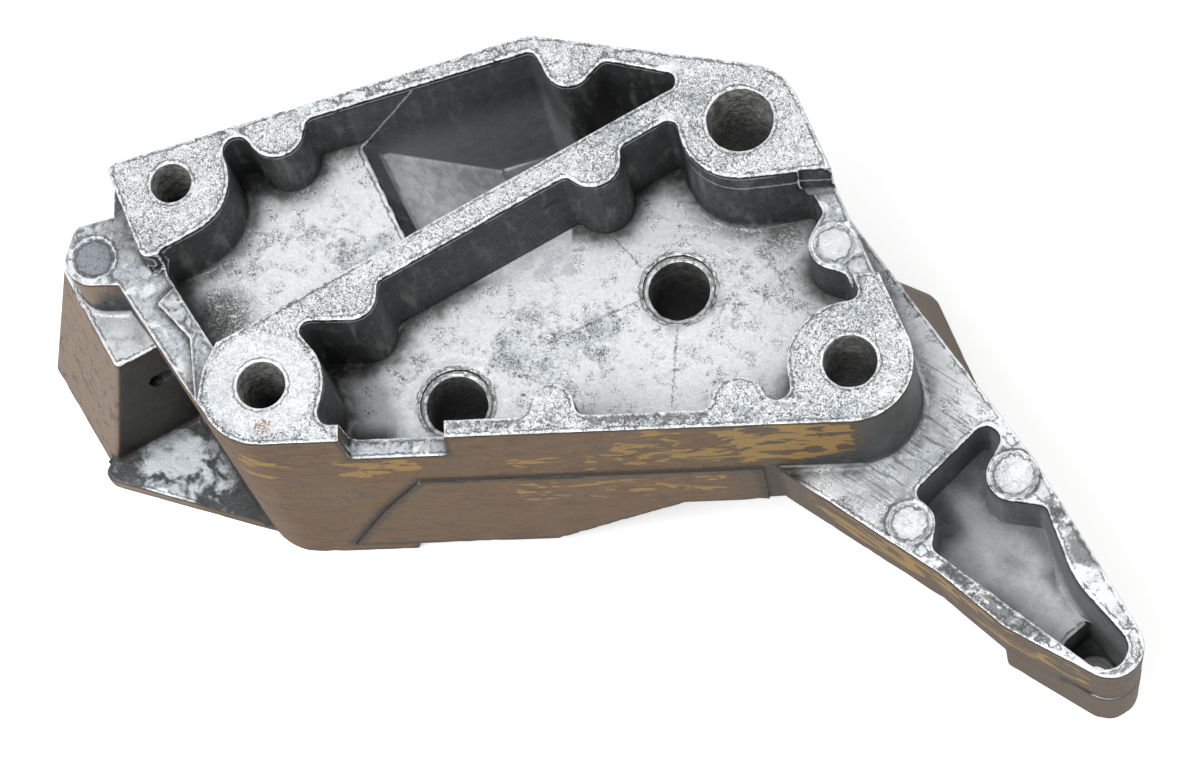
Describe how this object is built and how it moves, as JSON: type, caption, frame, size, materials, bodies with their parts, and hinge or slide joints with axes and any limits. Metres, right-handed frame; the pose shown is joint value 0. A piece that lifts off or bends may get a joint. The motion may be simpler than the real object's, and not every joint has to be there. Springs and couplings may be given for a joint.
{
  "type": "hydraulic pump bracket",
  "caption": "Cast bracket that holds a pump to an engine: a deep-walled box with a slanted rib, bolt bosses on its machined face, a side foot and a pocketed arm.",
  "frame": {"origin": "axis of the engine bolt hole under the middle of the pump well, in the plane of the engine face", "axes": "+Z from the engine face towards the pump face, +X along the front wall towards the arm, +Y from the front wall to the rear wall"},
  "size_m": [0.2492, 0.1421, 0.078],
  "materials": {
    "casting": "machined and as-cast aluminium, stained on the outside"
  },
  "bodies": {
    "root": {"bracket_casting": "casting"}
  },
  "joints": []
}
